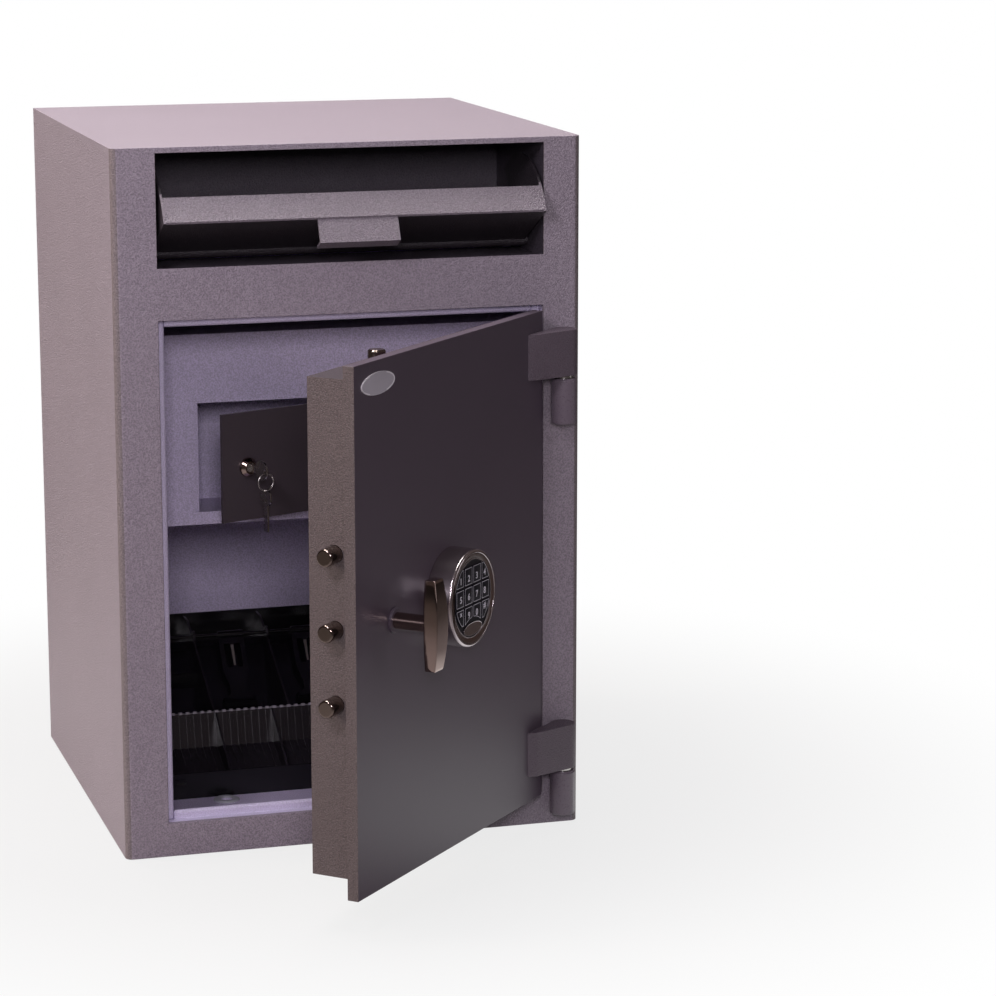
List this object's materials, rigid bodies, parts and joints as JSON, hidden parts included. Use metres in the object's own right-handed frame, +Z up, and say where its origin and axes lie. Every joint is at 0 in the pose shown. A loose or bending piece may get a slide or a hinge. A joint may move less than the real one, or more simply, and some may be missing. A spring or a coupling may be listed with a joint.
{
  "type": "drop safe with deposit drawer",
  "caption": "Upright drop safe with a tilting deposit drawer above a bolted hinged door, an inner key-locked locker and a cash tray on its floor.",
  "frame": {"origin": "middle of the body's underside", "axes": "+X to the right seen from the front, +Y from the front to the back, +Z up"},
  "size_m": [0.5, 0.8153, 0.75],
  "materials": {
    "body_paint": "fine textured powder coat, mauve grey",
    "door_paint": "satin powder coat, darker grey",
    "inner_paint": "fine textured powder coat, lavender grey",
    "zinc_steel": "zinc plated",
    "bright_steel": "bright turned steel",
    "chrome": "polished",
    "tray_plastic": "black, lightly textured",
    "cup_plastic": "smoke grey, semi gloss",
    "keypad_plastic": "black, smooth",
    "key_rubber": "dark soft keys with white outlines",
    "lock_brass": "cast lock case"
  },
  "bodies": {
    "body": {"front_frame": "body_paint", "side_plates": "body_paint", "top_plate": "body_paint", "base_plate": "body_paint", "back_plate": "body_paint", "stop_uprights": "inner_paint", "stop_rails": "inner_paint", "hinge_barrels": "body_paint", "hinge_pins": "bright_steel", "recess_sides": "inner_paint", "recess_back": "inner_paint", "drop_chute": "inner_paint", "locker_body": "inner_paint", "locker_front": "inner_paint", "locker_pins": "bright_steel", "anchor_washers": "zinc_steel", "cash_tray": "tray_plastic", "coin_cups": "cup_plastic", "note_dividers": "cup_plastic", "clip_rod": "bright_steel"},
    "door": {"door_plate": "door_paint", "bolt_cover": "body_paint", "hinge_blocks": "body_paint", "bolt_posts": "zinc_steel", "lock_case": "lock_brass", "keypad_housing": "chrome", "keypad_face": "keypad_plastic", "handle_collar": "keypad_plastic"},
    "drawer": {"drawer_pan": "body_paint", "drawer_cheeks": "body_paint", "drawer_pull": "body_paint"},
    "handle": {"handle_bar": "chrome", "handle_spindle": "chrome", "drive_cam": "zinc_steel"},
    "side_bolt_work": {"bolt_carriage": "zinc_steel", "side_bolts": "chrome"},
    "top_bolt_work": {"top_bolt": "chrome"},
    "latch": {"lock_latch": "bright_steel"},
    "small_door": {"locker_door": "inner_paint", "locker_lock": "chrome"},
    "key_plug": {"locker_key": "bright_steel", "lock_tongue": "zinc_steel"},
    "hanging_key": {"spare_key": "bright_steel"},
    "key_1_piece": {"key_1": "key_rubber"},
    "key_2_piece": {"key_2": "key_rubber"},
    "key_3_piece": {"key_3": "key_rubber"},
    "key_4_piece": {"key_4": "key_rubber"},
    "key_5_piece": {"key_5": "key_rubber"},
    "key_6_piece": {"key_6": "key_rubber"},
    "key_7_piece": {"key_7": "key_rubber"},
    "key_8_piece": {"key_8": "key_rubber"},
    "key_clear_piece": {"key_clear": "key_rubber"},
    "key_9_piece": {"key_9": "key_rubber"},
    "key_0_piece": {"key_0": "key_rubber"},
    "key_enter_piece": {"key_enter": "key_rubber"},
    "note_clip_1_piece": {"note_clip_1": "tray_plastic"},
    "note_clip_2_piece": {"note_clip_2": "tray_plastic"},
    "note_clip_3_piece": {"note_clip_3": "tray_plastic"}
  },
  "joints": [
    {"name": "door_swing", "type": "hinge", "parent": "body", "child": "door", "pos_m": [0.2275, -0.2645, 0.3], "axis": [0, 0, 1], "range_deg": [-46.5, 73.5]},
    {"name": "drawer_tip", "type": "hinge", "parent": "body", "child": "drawer", "pos_m": [0, -0.188, 0.634], "axis": [1, 0, 0], "range_deg": [-63.4, 0]},
    {"name": "handle_turn", "type": "hinge", "parent": "door", "child": "handle", "pos_m": [-0.02498, -0.50949, 0.306], "axis": [-0.7254, 0.6884, 0], "range_deg": [0, 60]},
    {"name": "side_bolt_slide", "type": "slide", "parent": "door", "child": "side_bolt_work", "axis": [0.6884, 0.7254, 0], "range_m": [0, 0.021]},
    {"name": "top_bolt_slide", "type": "slide", "parent": "door", "child": "top_bolt_work", "axis": [0, 0, -1], "range_m": [0, 0.016]},
    {"name": "latch_slide", "type": "slide", "parent": "door", "child": "latch", "axis": [0, 0, -1], "range_m": [-0.0127, 0]},
    {"name": "small_door_swing", "type": "hinge", "parent": "body", "child": "small_door", "pos_m": [0.0673, -0.083, 0.394], "axis": [0, 0, 1], "range_deg": [-21, 69]},
    {"name": "key_turn", "type": "hinge", "parent": "small_door", "child": "key_plug", "pos_m": [-0.09051, -0.14572, 0.39425], "axis": [-0.3584, 0.9336, 0], "range_deg": [0, 90]},
    {"name": "spare_key_swing", "type": "hinge", "parent": "key_plug", "child": "hanging_key", "pos_m": [-0.07796, -0.17839, 0.39275], "axis": [0.9336, 0.3584, 0], "range_deg": [-30, 30]},
    {"name": "note_clip_1_lift", "type": "hinge", "parent": "body", "child": "note_clip_1_piece", "pos_m": [-0.05412, 0.133, 0.14], "axis": [1, 0, 0], "range_deg": [-50, 0], "stiffness_Nm_per_rad": 0.05, "springref_deg": 20.05},
    {"name": "note_clip_2_lift", "type": "hinge", "parent": "body", "child": "note_clip_2_piece", "pos_m": [0.03322, 0.133, 0.14], "axis": [1, 0, 0], "range_deg": [-50, 0], "stiffness_Nm_per_rad": 0.05, "springref_deg": 20.05},
    {"name": "note_clip_3_lift", "type": "hinge", "parent": "body", "child": "note_clip_3_piece", "pos_m": [0.12058, 0.133, 0.14], "axis": [1, 0, 0], "range_deg": [-50, 0], "stiffness_Nm_per_rad": 0.05, "springref_deg": 20.05},
    {"name": "key_1_press", "type": "slide", "parent": "door", "child": "key_1_piece", "axis": [-0.7254, 0.6884, 0], "range_m": [0, 0.0006], "stiffness_N_per_m": 800, "springref_m": -0.0005},
    {"name": "key_2_press", "type": "slide", "parent": "door", "child": "key_2_piece", "axis": [-0.7254, 0.6884, 0], "range_m": [0, 0.0006], "stiffness_N_per_m": 800, "springref_m": -0.0005},
    {"name": "key_3_press", "type": "slide", "parent": "door", "child": "key_3_piece", "axis": [-0.7254, 0.6884, 0], "range_m": [0, 0.0006], "stiffness_N_per_m": 800, "springref_m": -0.0005},
    {"name": "key_4_press", "type": "slide", "parent": "door", "child": "key_4_piece", "axis": [-0.7254, 0.6884, 0], "range_m": [0, 0.0006], "stiffness_N_per_m": 800, "springref_m": -0.0005},
    {"name": "key_5_press", "type": "slide", "parent": "door", "child": "key_5_piece", "axis": [-0.7254, 0.6884, 0], "range_m": [0, 0.0006], "stiffness_N_per_m": 800, "springref_m": -0.0005},
    {"name": "key_6_press", "type": "slide", "parent": "door", "child": "key_6_piece", "axis": [-0.7254, 0.6884, 0], "range_m": [0, 0.0006], "stiffness_N_per_m": 800, "springref_m": -0.0005},
    {"name": "key_7_press", "type": "slide", "parent": "door", "child": "key_7_piece", "axis": [-0.7254, 0.6884, 0], "range_m": [0, 0.0006], "stiffness_N_per_m": 800, "springref_m": -0.0005},
    {"name": "key_8_press", "type": "slide", "parent": "door", "child": "key_8_piece", "axis": [-0.7254, 0.6884, 0], "range_m": [0, 0.0006], "stiffness_N_per_m": 800, "springref_m": -0.0005},
    {"name": "key_clear_press", "type": "slide", "parent": "door", "child": "key_clear_piece", "axis": [-0.7254, 0.6884, 0], "range_m": [0, 0.0006], "stiffness_N_per_m": 800, "springref_m": -0.0005},
    {"name": "key_9_press", "type": "slide", "parent": "door", "child": "key_9_piece", "axis": [-0.7254, 0.6884, 0], "range_m": [0, 0.0006], "stiffness_N_per_m": 800, "springref_m": -0.0005},
    {"name": "key_0_press", "type": "slide", "parent": "door", "child": "key_0_piece", "axis": [-0.7254, 0.6884, 0], "range_m": [0, 0.0006], "stiffness_N_per_m": 800, "springref_m": -0.0005},
    {"name": "key_enter_press", "type": "slide", "parent": "door", "child": "key_enter_piece", "axis": [-0.7254, 0.6884, 0], "range_m": [0, 0.0006], "stiffness_N_per_m": 800, "springref_m": -0.0005}
  ],
  "couplings": [
    {"joint": "side_bolt_slide", "follows": "handle_turn", "m_per_rad": 0.020054},
    {"joint": "top_bolt_slide", "follows": "handle_turn", "m_per_rad": 0.015279}
  ]
}
